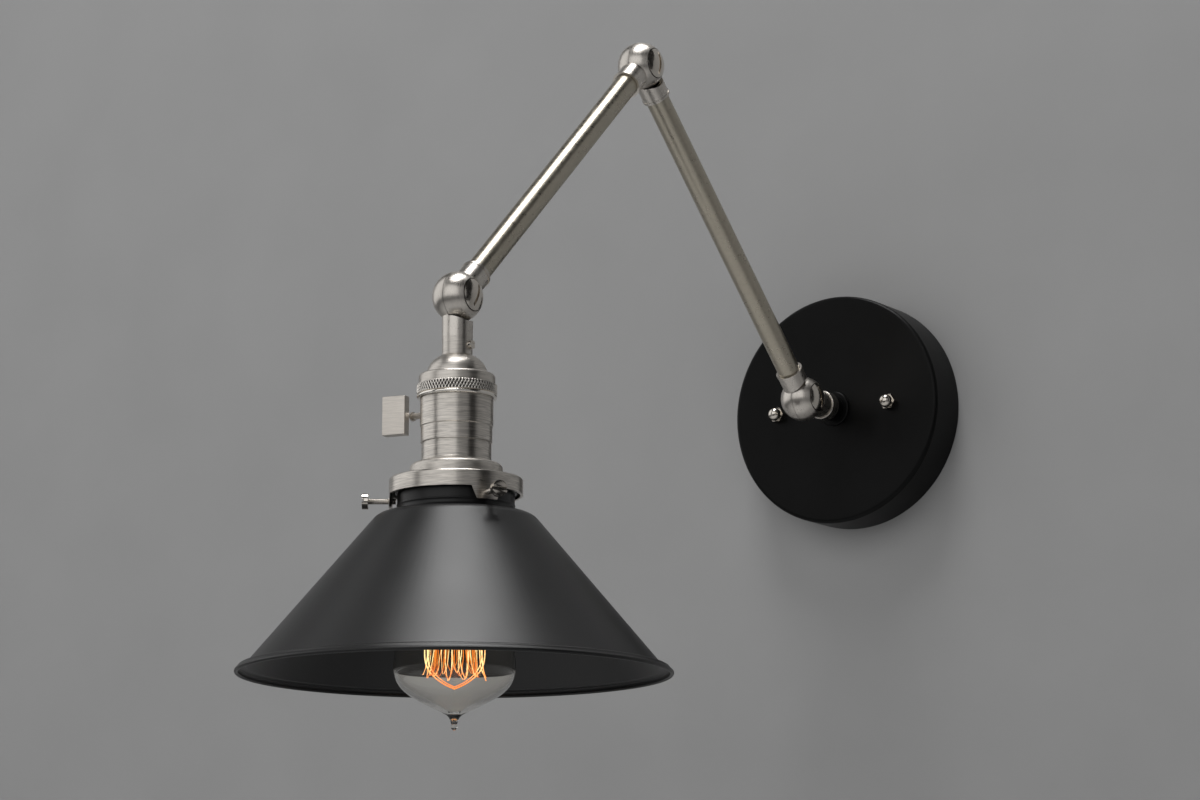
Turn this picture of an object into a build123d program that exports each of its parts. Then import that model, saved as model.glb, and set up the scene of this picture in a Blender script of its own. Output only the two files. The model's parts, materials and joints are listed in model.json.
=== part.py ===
from build123d import *
from math import cos, radians, sin, sqrt
import os

# Swing arm wall sconce, in millimetres.
# The wall is the plane y = 0, the lamp reaches out towards -Y, and +Z is up.
# The origin is the middle of the wall plate, where the mounting straps lie on the wall.
# Along the wall stack a size is a distance from the wall (out); along the socket stack it is a
# drop below the socket ball (drop).

# ---------------------------------------------------------------- driving dimensions
canopy_diameter = 133.0
canopy_depth = 27.0
canopy_wall = 1.2
canopy_edge_radius = 2.2

strap_width = 19.0
strap_thickness = 1.6
strap_end_length = 11.4
strap_corner_radius = 6.0
box_screw_spacing = 88.9
box_slot_width = 5.0
box_slot_length = 12.0
eyelet_radius = 6.4
eyelet_bore_radius = 5.2
eyelet_flange_radius = 8.6
eyelet_flange_thickness = 0.9
ground_screw_offset = 20.0
ground_screw_radius = 2.1
ground_head_radius = 4.2
ground_head_thickness = 2.2
ground_head_slot = 1.0

stud_spacing = 73.5
stud_radius = 2.0
stud_head_radius = 3.4
stud_head_thickness = 1.3
stud_nut_flats = 8.7
stud_nut_thickness = 3.0
cap_nut_flats = 8.0
cap_nut_hex_height = 3.9
cap_nut_height = 9.0
cap_nut_dome_radius = 3.7
cap_nut_thread_depth = 6.0

nipple_radius = 4.8
nipple_bore_radius = 3.2
nipple_tail = 12.0
nipple_grip = 6.5
locknut_flats = 14.3
locknut_thickness = 3.0
lockwasher_radius = 7.6
lockwasher_thickness = 1.0
bushing_flange_radius = 10.0
bushing_flange_thickness = 1.5
bushing_radius = 7.0
coupling_radius = 8.2
coupling_length = 7.4
coupling_rim_radius = 1.2

wall_ball_distance = 63.0
ball_radius = 12.5
arm_length = 228.6
lower_arm_rise = 42.5
upper_arm_drop = 43.9
neck_radius = 7.5
neck_reach = 20.6
relief_gap = 0.4
neck_lip = 0.3
neck_lip_length = 1.3
chamber_radius = 8.0
chamber_depth = 3.2
wire_bore_radius = 2.8
screw_radius = 2.5
screw_thread_depth = 8.6
screw_head_radius = 7.8
screw_recess_gap = 0.4
screw_recess_floor = 6.6
screw_slot_width = 1.5
screw_slot_depth = 1.7
spring_washer_inset = 0.8
spring_washer_thickness = 0.6
tube_radius = 6.35
tube_wall = 1.0
tube_grip = 8.0

cap_collar_radius = 7.4
cap_collar_height = 8.2
cap_dome_radius = 14.7
cap_dome_height = 7.8
cap_radius = 18.6
cap_skirt_height = 6.4
cap_shoulder_radius = 1.6
cap_wall = 1.2
set_screw_radius = 2.1
set_screw_stand = 1.9
set_screw_slot = 0.8
knurl_radius = 19.5
knurl_height = 5.3
knurl_bead_radius = 0.6
shell_radius = 17.7
shell_upper_height = 21.3
shell_waist_height = 8.0
shell_foot_height = 9.5
shell_step = 0.4
shell_groove_width = 1.0
shell_groove_depth = 0.45
shell_wall = 0.9
shell_bead = 0.5
liner_thickness = 0.7
liner_top_gap = 3.0
interior_top_gap = 4.0
interior_height = 13.0
interior_chamfer = 1.5
terminal_radius = 2.6
terminal_thickness = 2.0
terminal_offset = 9.0
screw_shell_radius = 13.8
screw_shell_wall = 0.4
contact_radius = 3.5
contact_height = 1.2

key_height = 13.5
key_angle = 10.0
key_stem_radius = 1.6
key_stem_depth = 8.0
key_paddle_start = 27.0
key_paddle_width = 12.4
key_paddle_height = 19.4
key_paddle_thickness = 5.0
key_paddle_round = 0.4
key_hub_radius = 2.3
key_hub_length = 1.0
key_window_radius = 3.0

flange_ledge = 0.9
flange_height = 8.1
flange_radius = 23.8
flange_edge_height = 4.4
flange_bore_radius = 14.6
flange_collar_wall = 2.4
window_rim = 1.3
window_arc = 100.0
window_corner_radius = 4.0
holder_radius = 32.3
holder_height = 8.0
holder_wall = 1.4
holder_edge_radius = 1.2
tab_height = 6.1
tab_top_width = 16.2
tab_bottom_width = 10.0
first_thumbscrew_angle = 213.5
thumbscrew_count = 3
thumbscrew_height = 2.9
thumbscrew_radius = 1.5
thumbscrew_reach = 42.2
thumbscrew_head_radius = 3.9
thumbscrew_head_thickness = 2.9
thumbscrew_edge_radius = 0.5
thumbscrew_slot_width = 1.3
thumbscrew_slot_depth = 1.1

shade_wall = 1.0
shade_neck_radius = 28.3
shade_lip_width = 1.1
shade_lip_height = 2.8
shade_lip_gap = 2.1
shade_ridge_radius = 0.75
shade_ridge_height = 3.8
shade_shoulder_gap = 3.0
shade_shoulder_width = 9.8
shade_shoulder_round = 9.0
shade_neck_round = 2.4
shade_cone_height = 71.4
shade_crease_round = 0.5
shade_rim_radius = 105.8
shade_flare_width = 7.3
shade_flare_height = 5.4
shade_bead_radius = 0.9

bulb_base_radius = 13.0
bulb_base_wall = 0.5
bulb_base_shoulder = 9.5
bulb_base_slope = 2.0
bulb_base_length = 22.0
bulb_contact_radius = 4.6
bulb_contact_height = 1.1
bulb_insulator_height = 1.8
glass_thickness = 0.8
glass_neck_radius = 12.4
glass_neck_seat = 3.0
bulb_radius = 29.2
bulb_body_height = 94.6
bulb_crown_height = 22.6
bulb_tip_radius = 3.6
bulb_tip_height = 4.0
bulb_pip_radius = 1.6
stem_radius = 5.0
stem_tip_radius = 2.2
stem_slope_height = 14.0
stem_height = 53.6
filament_legs = 14
filament_wire_radius = 0.3
filament_hook_radius = 0.5
filament_top_gap = 6.0
filament_top_radius = 9.0
filament_reach = 6.0
filament_bottom_radius = 14.3
support_wire_radius = 0.35
support_hook_radius = 0.45
support_hub_height = 2.5

# ---------------------------------------------------------------- clearances
thread_gap = 0.02      # pieces screwed into one another
running_gap = 0.05     # radial, where one piece turns in another
split_gap = 0.1        # from the middle of a ball to the face of each half
slip_gap = 0.15        # a tube or liner slipped into its pocket
soft_gap = 0.3         # pieces that lie close without touching

# ---------------------------------------------------------------- worked out from these
wall_strap_length = box_screw_spacing + 2 * strap_end_length
canopy_strap_length = stud_spacing + 2 * strap_end_length
relief_radius = ball_radius + relief_gap
screw_recess_radius = screw_head_radius + screw_recess_gap
spring_washer_radius = screw_head_radius - spring_washer_inset

cap_collar_drop = neck_reach + cap_collar_height
cap_dome_drop = cap_collar_drop + cap_dome_height
cap_drop = cap_dome_drop + cap_skirt_height
set_screw_reach = cap_collar_radius + set_screw_stand
knurl_drop = cap_drop + knurl_height
shell_step_drop = cap_drop + shell_upper_height
shell_groove_drop = shell_step_drop + shell_waist_height
shell_drop = shell_groove_drop + shell_foot_height
liner_top_drop = cap_drop + liner_top_gap
interior_top_drop = cap_drop + interior_top_gap
interior_drop = interior_top_drop + interior_height
key_drop = cap_drop + key_height

flange_top_radius = shell_radius - shell_step + flange_ledge
flange_drop = shell_drop + flange_height
holder_drop = flange_drop + holder_height
tab_drop = holder_drop + tab_height
thumbscrew_drop = holder_drop + thumbscrew_height
shade_lip_radius = shade_neck_radius + shade_lip_width
shade_lip_drop = thumbscrew_drop - thumbscrew_radius - shade_lip_gap - shade_lip_height / 2
shade_shoulder_drop = tab_drop + shade_shoulder_gap
shade_ridge_drop = shade_shoulder_drop - shade_ridge_height

# the middle of the shade's sheet, from its neck to its bead
sheet_half = shade_wall / 2
sheet_neck_radius = shade_neck_radius - sheet_half
sheet_cone_start_radius = shade_neck_radius + shade_shoulder_width
sheet_cone_start_drop = shade_shoulder_drop + sheet_half
sheet_rim_radius = shade_rim_radius - shade_bead_radius
sheet_cone_end_radius = sheet_rim_radius - shade_flare_width
sheet_cone_end_drop = sheet_cone_start_drop + shade_cone_height
sheet_bead_drop = sheet_cone_end_drop + shade_flare_height

base_top_drop = interior_drop + contact_height + soft_gap
insulator_drop = base_top_drop + bulb_contact_height
base_start_drop = insulator_drop + bulb_insulator_height
base_end_drop = base_start_drop + bulb_base_length
glass_start_drop = base_end_drop - glass_neck_seat
bulb_widest_drop = base_end_drop + bulb_body_height
bulb_tip_drop = bulb_widest_drop + bulb_crown_height
bulb_pip_drop = bulb_tip_drop + bulb_tip_height + bulb_pip_radius
stem_drop = base_end_drop + stem_height
filament_top_drop = stem_drop + filament_top_gap
filament_bottom_drop = bulb_widest_drop + filament_reach

# ---------------------------------------------------------------- places
wall_ball = Vector(0, -wall_ball_distance, 0)
lower_direction = Vector(0, -cos(radians(lower_arm_rise)), sin(radians(lower_arm_rise)))
upper_direction = Vector(0, -cos(radians(upper_arm_drop)), -sin(radians(upper_arm_drop)))
elbow_ball = wall_ball + lower_direction * arm_length
socket_ball = elbow_ball + upper_direction * arm_length
towards_wall = Vector(0, 1, 0)
downwards = Vector(0, 0, -1)

wall_section = Plane.XY                   # (radius, -out), turned about the Y axis
drop_section = Plane(origin=socket_ball, x_dir=(1, 0, 0), z_dir=(0, -1, 0))   # (radius, -drop)
drop_axis = Axis(socket_ball, (0, 0, 1))
drop_frame = Plane(origin=socket_ball)    # world directions, from the socket ball

os.makedirs("parts", exist_ok=True)


def keep(piece, label):
    """Name a finished piece and write it."""
    piece.part.label = label
    export_step(piece.part, f"parts/{label}.step")


def turn(section, axis, outline, rounds=None):
    """Turn a closed outline on a section plane about an axis, with some of its corners rounded."""
    with BuildSketch(section) as face:
        with BuildLine():
            Polyline(*outline, close=True)
        make_face()
        for corner, radius in (rounds or {}).items():
            nearest = face.sketch_local.vertices().sort_by_distance((*corner, 0))[0]
            fillet(nearest, radius)
    revolve(face.sketch, axis=axis)


def ring(section, axis, inner, outer, start, end):
    """A plain turned ring between two radii, from one place along its axis to another."""
    turn(section, axis, [(inner, -start), (outer, -start), (outer, -end), (inner, -end)])


def facing_wall(out, x=0.0, z=0.0):
    """A plane across the wall stack that looks out from the wall."""
    return Plane(origin=(x, -out, z), x_dir=(1, 0, 0), z_dir=(0, -1, 0))


def hexagon(flats):
    """A hexagon of the given width across its flats."""
    RegularPolygon(radius=flats / 2, side_count=6, major_radius=False)


# ================================================================ wall plate
canopy_radius = canopy_diameter / 2
canopy_inside = canopy_depth - canopy_wall

with BuildPart() as canopy:
    with BuildSketch(facing_wall(0)):
        Circle(canopy_radius)
    extrude(amount=canopy_depth)
    front_edge = canopy.edges().filter_by(GeomType.CIRCLE).sort_by(Axis.Y)[0]
    fillet(front_edge, canopy_edge_radius)
    back_face = canopy.faces().sort_by(Axis.Y)[-1]
    offset(amount=-canopy_wall, openings=back_face)
    with BuildSketch(facing_wall(0)):
        Circle(nipple_radius + slip_gap)
        with Locations((-stud_spacing / 2, 0), (stud_spacing / 2, 0)):
            Circle(stud_radius + soft_gap)
    extrude(amount=canopy_depth, mode=Mode.SUBTRACT)
keep(canopy, "canopy")

with BuildPart() as wall_strap:
    with BuildSketch(facing_wall(0)):
        Rectangle(strap_width, wall_strap_length)
        fillet(vertices(), strap_corner_radius)
        Circle(eyelet_radius + thread_gap, mode=Mode.SUBTRACT)
        with Locations((0, -box_screw_spacing / 2), (0, box_screw_spacing / 2)):
            SlotOverall(box_slot_length, box_slot_width, rotation=90, mode=Mode.SUBTRACT)
    extrude(amount=strap_thickness)
keep(wall_strap, "wall_strap")

with BuildPart() as canopy_strap:
    with BuildSketch(facing_wall(strap_thickness)):
        Rectangle(canopy_strap_length, strap_width)
        fillet(vertices(), strap_corner_radius)
        Circle(eyelet_radius + thread_gap, mode=Mode.SUBTRACT)
        with Locations((-stud_spacing / 2, 0), (stud_spacing / 2, 0)):
            Circle(stud_radius + thread_gap, mode=Mode.SUBTRACT)
        with Locations((ground_screw_offset, 0)):
            Circle(ground_screw_radius + thread_gap, mode=Mode.SUBTRACT)
    extrude(amount=strap_thickness)
keep(canopy_strap, "canopy_strap")

straps_front = 2 * strap_thickness
with BuildPart() as strap_eyelet:
    ring(wall_section, Axis.Y, eyelet_bore_radius, eyelet_radius, 0, straps_front)
    ring(wall_section, Axis.Y, eyelet_bore_radius, eyelet_flange_radius,
         straps_front, straps_front + eyelet_flange_thickness)
keep(strap_eyelet, "strap_eyelet")

with BuildPart(facing_wall(strap_thickness, x=ground_screw_offset)) as ground_screw:
    Cylinder(ground_screw_radius, strap_thickness, align=(Align.CENTER, Align.CENTER, Align.MIN))
    with Locations((0, 0, strap_thickness)):
        Cylinder(ground_head_radius, ground_head_thickness, align=(Align.CENTER, Align.CENTER, Align.MIN))
    with Locations((0, 0, strap_thickness + ground_head_thickness)):
        Box(2 * ground_head_radius, ground_head_slot, ground_head_slot, mode=Mode.SUBTRACT)
keep(ground_screw, "ground_screw")

stud_end = canopy_depth + cap_nut_thread_depth - soft_gap
stud_places = [(-stud_spacing / 2, 0), (stud_spacing / 2, 0)]
with BuildPart() as canopy_studs:
    with BuildSketch(facing_wall(strap_thickness - stud_head_thickness)):
        with Locations(*stud_places):
            Circle(stud_head_radius)
    extrude(amount=stud_head_thickness)
    with BuildSketch(facing_wall(strap_thickness)):
        with Locations(*stud_places):
            Circle(stud_radius)
    extrude(amount=stud_end - strap_thickness)
keep(canopy_studs, "canopy_studs")

with BuildPart() as stud_nuts:
    with BuildSketch(facing_wall(straps_front)):
        with Locations(*stud_places):
            hexagon(stud_nut_flats)
            Circle(stud_radius + thread_gap, mode=Mode.SUBTRACT)
    extrude(amount=stud_nut_thickness)
keep(stud_nuts, "stud_nuts")

with BuildPart() as cap_nuts:
    with BuildSketch(facing_wall(canopy_depth)):
        with Locations(*stud_places):
            hexagon(cap_nut_flats)
    extrude(amount=cap_nut_hex_height)
    with BuildSketch(facing_wall(canopy_depth + cap_nut_hex_height)):
        with Locations(*stud_places):
            Circle(cap_nut_dome_radius)
    extrude(amount=cap_nut_height - cap_nut_hex_height)
    dome_edges = cap_nuts.edges().filter_by(GeomType.CIRCLE).group_by(Axis.Y)[0]
    fillet(dome_edges, cap_nut_dome_radius * 0.92)
    with BuildSketch(facing_wall(canopy_depth)):
        with Locations(*stud_places):
            Circle(stud_radius + thread_gap)
    extrude(amount=cap_nut_thread_depth, mode=Mode.SUBTRACT)
keep(cap_nuts, "cap_nuts")

# ================================================================ nipple through the wall plate
neck_end = wall_ball_distance - neck_reach            # out from the wall
coupling_start = neck_end - coupling_length
nipple_start = canopy_inside - nipple_tail
nipple_end = neck_end + nipple_grip

with BuildPart() as canopy_nipple:
    ring(wall_section, Axis.Y, nipple_bore_radius, nipple_radius, nipple_start, nipple_end)
keep(canopy_nipple, "canopy_nipple")

with BuildPart() as nipple_lockwasher:
    ring(wall_section, Axis.Y, nipple_radius + thread_gap, lockwasher_radius,
         canopy_inside - lockwasher_thickness, canopy_inside)
keep(nipple_lockwasher, "nipple_lockwasher")

with BuildPart() as nipple_locknut:
    with BuildSketch(facing_wall(canopy_inside - lockwasher_thickness - locknut_thickness)):
        hexagon(locknut_flats)
        Circle(nipple_radius + thread_gap, mode=Mode.SUBTRACT)
    extrude(amount=locknut_thickness)
keep(nipple_locknut, "nipple_locknut")

bushing_bore = nipple_radius + thread_gap
bushing_step = canopy_depth + bushing_flange_thickness
with BuildPart() as canopy_bushing:
    turn(
        wall_section, Axis.Y,
        [(bushing_bore, -canopy_depth), (bushing_flange_radius, -canopy_depth),
         (bushing_flange_radius, -bushing_step), (bushing_radius, -bushing_step),
         (bushing_radius, -coupling_start), (bushing_bore, -coupling_start)],
        {(bushing_flange_radius, -bushing_step): bushing_flange_thickness * 0.6},
    )
keep(canopy_bushing, "canopy_bushing")

with BuildPart() as wall_coupling:
    turn(
        wall_section, Axis.Y,
        [(nipple_radius + running_gap, -coupling_start), (coupling_radius, -coupling_start),
         (coupling_radius, -neck_end), (nipple_radius + running_gap, -neck_end)],
        {(coupling_radius, -coupling_start): coupling_rim_radius,
         (coupling_radius, -neck_end): coupling_rim_radius / 3},
    )
keep(wall_coupling, "wall_coupling")


# ================================================================ ball swivels
def swivel_half(centre, towards, side, bore_radius, bore_depth, lip=0.0):
    """One half of a ball swivel: half of the ball, and a round neck that both halves leave room for.

    side is 1 for the half on +X, which the screw head sits in, and -1 for the threaded half.
    Beyond the relief radius the neck is whole; inside it, it keeps to its own side of the split.
    """
    turned_to_x = (0, 90, 0)
    from_ball = (Align.CENTER, Align.CENTER, Align.MIN)
    recess_depth = ball_radius - screw_recess_floor
    hole_depth = screw_thread_depth + soft_gap
    with BuildPart(Plane(origin=centre, x_dir=(1, 0, 0), z_dir=towards)) as half:
        Cylinder(neck_radius, neck_reach, align=from_ball)
        if lip:
            with Locations((0, 0, neck_reach - neck_lip_length)):
                Cylinder(neck_radius + lip, neck_lip_length, align=from_ball)
        Sphere(ball_radius, arc_size1=0, rotation=(0, 90 * side, 0), align=None)
        with Locations((side * (split_gap - ball_radius), 0, 0)):
            Cylinder(relief_radius, 2 * ball_radius, rotation=turned_to_x, mode=Mode.SUBTRACT)
        with Locations((side * chamber_depth / 2, 0, 0)):
            Cylinder(chamber_radius, chamber_depth, rotation=turned_to_x, mode=Mode.SUBTRACT)
        Cylinder(wire_bore_radius, neck_reach, align=from_ball, mode=Mode.SUBTRACT)
        with Locations((0, 0, neck_reach - bore_depth)):
            Cylinder(bore_radius, bore_depth, align=from_ball, mode=Mode.SUBTRACT)
        if side > 0:
            with Locations((screw_recess_floor + recess_depth / 2, 0, 0)):
                Cylinder(screw_recess_radius, recess_depth, rotation=turned_to_x, mode=Mode.SUBTRACT)
            with Locations((ball_radius / 2, 0, 0)):
                Cylinder(screw_radius + running_gap, ball_radius, rotation=turned_to_x, mode=Mode.SUBTRACT)
        else:
            with Locations((-hole_depth / 2, 0, 0)):
                Cylinder(screw_radius + thread_gap, hole_depth, rotation=turned_to_x, mode=Mode.SUBTRACT)
    return half


def swivel_screw(centre, slot_angle):
    """The slotted screw that holds two halves together, its head domed to the ball."""
    head_start = screw_recess_floor + spring_washer_thickness + 2 * running_gap
    head_rim = sqrt(ball_radius**2 - screw_head_radius**2)
    with BuildPart(Plane(origin=centre)) as screw:
        with BuildSketch(Plane(origin=centre, x_dir=(0, 1, 0), z_dir=(0, 0, -1))):
            with BuildLine():
                Polyline((0, ball_radius), (0, -screw_thread_depth), (screw_radius, -screw_thread_depth),
                         (screw_radius, head_start), (screw_head_radius, head_start),
                         (screw_head_radius, head_rim))
                RadiusArc((screw_head_radius, head_rim), (0, ball_radius), -ball_radius)
            make_face()
        revolve(axis=Axis(centre, (1, 0, 0)))
        with Locations(Location((ball_radius - screw_slot_depth / 2, 0, 0), (slot_angle, 0, 0))):
            Box(screw_slot_depth, screw_slot_width, 2 * screw_head_radius, mode=Mode.SUBTRACT)
    return screw


def swivel_washer(centre):
    """The spring washer under a swivel screw's head."""
    start = screw_recess_floor + running_gap
    washer_frame = Plane(origin=centre + Vector(start, 0, 0), z_dir=(1, 0, 0))
    with BuildPart(washer_frame) as washer:
        with BuildSketch(washer_frame):
            Circle(spring_washer_radius)
            Circle(screw_radius + running_gap, mode=Mode.SUBTRACT)
        extrude(amount=spring_washer_thickness)
    return washer


nipple_bore = nipple_radius + running_gap
tube_bore = tube_radius + slip_gap

keep(swivel_half(wall_ball, towards_wall, 1, nipple_bore, nipple_grip + soft_gap), "wall_swivel_base")
keep(swivel_half(wall_ball, lower_direction, -1, tube_bore, tube_grip, neck_lip), "wall_swivel_arm_half")
keep(swivel_screw(wall_ball, 20), "wall_swivel_screw")
keep(swivel_washer(wall_ball), "wall_swivel_washer")

keep(swivel_half(elbow_ball, -lower_direction, -1, tube_bore, tube_grip, neck_lip), "elbow_lower_half")
keep(swivel_half(elbow_ball, upper_direction, 1, tube_bore, tube_grip, neck_lip), "elbow_upper_half")
keep(swivel_screw(elbow_ball, 4), "elbow_screw")
keep(swivel_washer(elbow_ball), "elbow_washer")

keep(swivel_half(socket_ball, -upper_direction, 1, tube_bore, tube_grip, neck_lip), "socket_swivel_arm_half")
keep(swivel_half(socket_ball, downwards, -1, nipple_bore, nipple_grip + soft_gap), "socket_swivel_drop_half")
keep(swivel_screw(socket_ball, -18), "socket_swivel_screw")
keep(swivel_washer(socket_ball), "socket_swivel_washer")

# ================================================================ arm tubes
tube_start = neck_reach - tube_grip
tube_length = arm_length - 2 * tube_start


def arm_tube(ball, direction):
    """A tube between two swivels, its ends held in their collars."""
    frame = Plane(origin=ball + direction * tube_start, x_dir=(1, 0, 0), z_dir=direction)
    with BuildPart() as tube:
        with BuildSketch(frame):
            Circle(tube_radius)
            Circle(tube_radius - tube_wall, mode=Mode.SUBTRACT)
        extrude(amount=tube_length)
    return tube


keep(arm_tube(wall_ball, lower_direction), "lower_arm_tube")
keep(arm_tube(elbow_ball, upper_direction), "upper_arm_tube")

# ================================================================ socket
nipple_top = neck_reach - nipple_grip
cap_floor_drop = cap_collar_drop + cap_wall

with BuildPart() as socket_nipple:
    ring(drop_section, drop_axis, nipple_bore_radius, nipple_radius, nipple_top, cap_floor_drop)
keep(socket_nipple, "socket_nipple")

cap_bore = nipple_radius + thread_gap
with BuildPart() as socket_cap:
    with BuildSketch(drop_section) as cap_face:
        with BuildLine():
            collar = Polyline((cap_bore, -neck_reach), (cap_collar_radius, -neck_reach),
                              (cap_collar_radius, -cap_collar_drop))
            dome = EllipticalCenterArc((cap_collar_radius, -cap_dome_drop),
                                       cap_dome_radius - cap_collar_radius,
                                       cap_dome_drop - cap_collar_drop, start_angle=0, arc_size=90)
            Polyline(dome @ 0, (cap_radius, -cap_dome_drop), (cap_radius, -cap_drop),
                     (cap_radius - cap_wall, -cap_drop), (cap_radius - cap_wall, -cap_dome_drop - cap_wall),
                     (cap_dome_radius - cap_wall, -cap_dome_drop - cap_wall),
                     (cap_dome_radius - cap_wall, -cap_dome_drop),
                     (cap_collar_radius, -cap_floor_drop), (cap_bore, -cap_floor_drop),
                     collar @ 0)
        make_face()
        cap_shoulder = cap_face.sketch_local.vertices().sort_by_distance((cap_radius, -cap_dome_drop, 0))[0]
        fillet(cap_shoulder, cap_shoulder_radius)
    revolve(axis=drop_axis)
    set_screw_drop = (neck_reach + cap_collar_drop) / 2
    with BuildSketch(Plane(origin=socket_ball + Vector(0, 0, -set_screw_drop), z_dir=(1, 0, 0))):
        Circle(set_screw_radius + thread_gap)
    extrude(amount=cap_radius, mode=Mode.SUBTRACT)
keep(socket_cap, "socket_cap")

set_screw_frame = Plane(origin=socket_ball + Vector(nipple_radius + running_gap, 0, -set_screw_drop),
                        z_dir=(1, 0, 0))
set_screw_length = set_screw_reach - nipple_radius - running_gap
with BuildPart(set_screw_frame) as cap_set_screw:
    Cylinder(set_screw_radius, set_screw_length, align=(Align.CENTER, Align.CENTER, Align.MIN))
    with Locations((0, 0, set_screw_length)):
        Box(2 * set_screw_slot, 3 * set_screw_radius, set_screw_slot, mode=Mode.SUBTRACT)
keep(cap_set_screw, "cap_set_screw")

knurl_bore = shell_radius + slip_gap
with BuildPart() as knurled_ring:
    turn(
        drop_section, drop_axis,
        [(knurl_bore, -cap_drop), (knurl_radius, -cap_drop), (knurl_radius, -knurl_drop),
         (knurl_radius - knurl_bead_radius, -knurl_drop),
         (knurl_radius - knurl_bead_radius, -knurl_drop - 2 * knurl_bead_radius),
         (knurl_bore, -knurl_drop - 2 * knurl_bead_radius)],
        {(knurl_radius - knurl_bead_radius, -knurl_drop - 2 * knurl_bead_radius): knurl_bead_radius},
    )
keep(knurled_ring, "knurled_ring")

shell_top_drop = cap_drop + soft_gap
waist_radius = shell_radius - shell_step
foot_radius = waist_radius - shell_step
shell_inside = foot_radius - shell_wall
with BuildPart() as socket_shell:
    turn(
        drop_section, drop_axis,
        [(shell_inside, -shell_top_drop), (shell_radius, -shell_top_drop),
         (shell_radius, -shell_step_drop), (waist_radius, -shell_step_drop - shell_step),
         (waist_radius, -shell_groove_drop), (foot_radius - shell_groove_depth, -shell_groove_drop),
         (foot_radius - shell_groove_depth, -shell_groove_drop - shell_groove_width),
         (foot_radius, -shell_groove_drop - shell_groove_width), (foot_radius, -shell_drop + 2 * shell_bead),
         (waist_radius, -shell_drop + 2 * shell_bead), (waist_radius, -shell_drop),
         (shell_inside, -shell_drop)],
        {(waist_radius, -shell_drop + 2 * shell_bead): shell_step * 0.9},
    )
    key_axis_plane = Plane(origin=socket_ball + Vector(0, 0, -key_drop), x_dir=(0, 1, 0), z_dir=(-1, 0, 0))
    with BuildSketch(key_axis_plane):
        Circle(key_window_radius)
    extrude(amount=shell_radius + 1, mode=Mode.SUBTRACT)
keep(socket_shell, "socket_shell")

liner_radius = shell_inside - slip_gap
with BuildPart() as shell_liner:
    ring(drop_section, drop_axis, liner_radius - liner_thickness, liner_radius, liner_top_drop, shell_drop)
    with BuildSketch(key_axis_plane):
        Circle(key_window_radius)
    extrude(amount=shell_radius, mode=Mode.SUBTRACT)
keep(shell_liner, "shell_liner")

interior_radius = liner_radius - liner_thickness - soft_gap
with BuildPart() as socket_interior:
    with BuildSketch(drop_frame.offset(-interior_drop)):
        Circle(interior_radius)
    extrude(amount=interior_drop - interior_top_drop)
    top_edge = socket_interior.edges().filter_by(GeomType.CIRCLE).sort_by(Axis.Z)[-1]
    chamfer(top_edge, interior_chamfer)
    with BuildSketch(key_axis_plane.offset(key_stem_depth - soft_gap)):
        Circle(key_stem_radius + running_gap)
    extrude(amount=interior_radius, mode=Mode.SUBTRACT)
keep(socket_interior, "socket_interior")

with BuildPart() as terminal_screws:
    with BuildSketch(drop_frame.offset(-interior_top_drop)):
        with Locations((0, -terminal_offset), (0, terminal_offset)):
            Circle(terminal_radius)
    extrude(amount=terminal_thickness)
    with BuildSketch(drop_frame.offset(-interior_top_drop + terminal_thickness)):
        with Locations((0, -terminal_offset), (0, terminal_offset)):
            Rectangle(2 * terminal_radius, ground_head_slot)
    extrude(amount=-terminal_thickness / 3, mode=Mode.SUBTRACT)
keep(terminal_screws, "terminal_screws")

screw_shell_inside = screw_shell_radius - screw_shell_wall
screw_shell_floor = interior_drop + screw_shell_wall
with BuildPart() as screw_shell:
    turn(
        drop_section, drop_axis,
        [(contact_radius + soft_gap, -interior_drop), (screw_shell_radius, -interior_drop),
         (screw_shell_radius, -shell_drop), (screw_shell_inside, -shell_drop),
         (screw_shell_inside, -screw_shell_floor), (contact_radius + soft_gap, -screw_shell_floor)],
    )
keep(screw_shell, "screw_shell")

with BuildPart() as centre_contact:
    with BuildSketch(drop_frame.offset(-interior_drop - contact_height)):
        Circle(contact_radius)
    extrude(amount=contact_height)
    contact_edge = centre_contact.edges().filter_by(GeomType.CIRCLE).sort_by(Axis.Z)[0]
    fillet(contact_edge, contact_height * 0.7)
keep(centre_contact, "centre_contact")

# ================================================================ turn key
key_frame = key_axis_plane.rotated((0, 0, key_angle))
with BuildPart() as key_stem:
    with BuildSketch(key_axis_plane.offset(key_stem_depth)):
        Circle(key_stem_radius)
    extrude(amount=key_paddle_start - key_stem_depth)
    with BuildSketch(key_axis_plane.offset(key_paddle_start - key_hub_length)):
        Circle(key_hub_radius)
    extrude(amount=key_hub_length)
keep(key_stem, "key_stem")

with BuildPart() as key_paddle:
    with BuildSketch(key_frame.offset(key_paddle_start)):
        Rectangle(key_paddle_thickness, key_paddle_height)
    extrude(amount=key_paddle_width)
    fillet(key_paddle.edges(), key_paddle_round)
keep(key_paddle, "key_paddle")

# ================================================================ shade holder
holder_inside = holder_radius - holder_wall
holder_angles = [first_thumbscrew_angle + n * 360 / thumbscrew_count for n in range(thumbscrew_count)]
gap_turn = 180 / thumbscrew_count


def radial_section(angle):
    """The section plane at an angle about the socket axis: (radius, -drop)."""
    outwards = (cos(radians(angle)), sin(radians(angle)), 0)
    return Plane(origin=socket_ball, x_dir=outwards, z_dir=(outwards[1], -outwards[0], 0))


def outward_plane(angle, drop):
    """A plane at a drop below the socket ball, that looks away from the socket axis."""
    away = Vector(cos(radians(angle)), sin(radians(angle)), 0)
    across = Vector(-away.Y, away.X, 0)
    return Plane(origin=socket_ball + Vector(0, 0, -drop), x_dir=across, z_dir=away)


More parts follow.
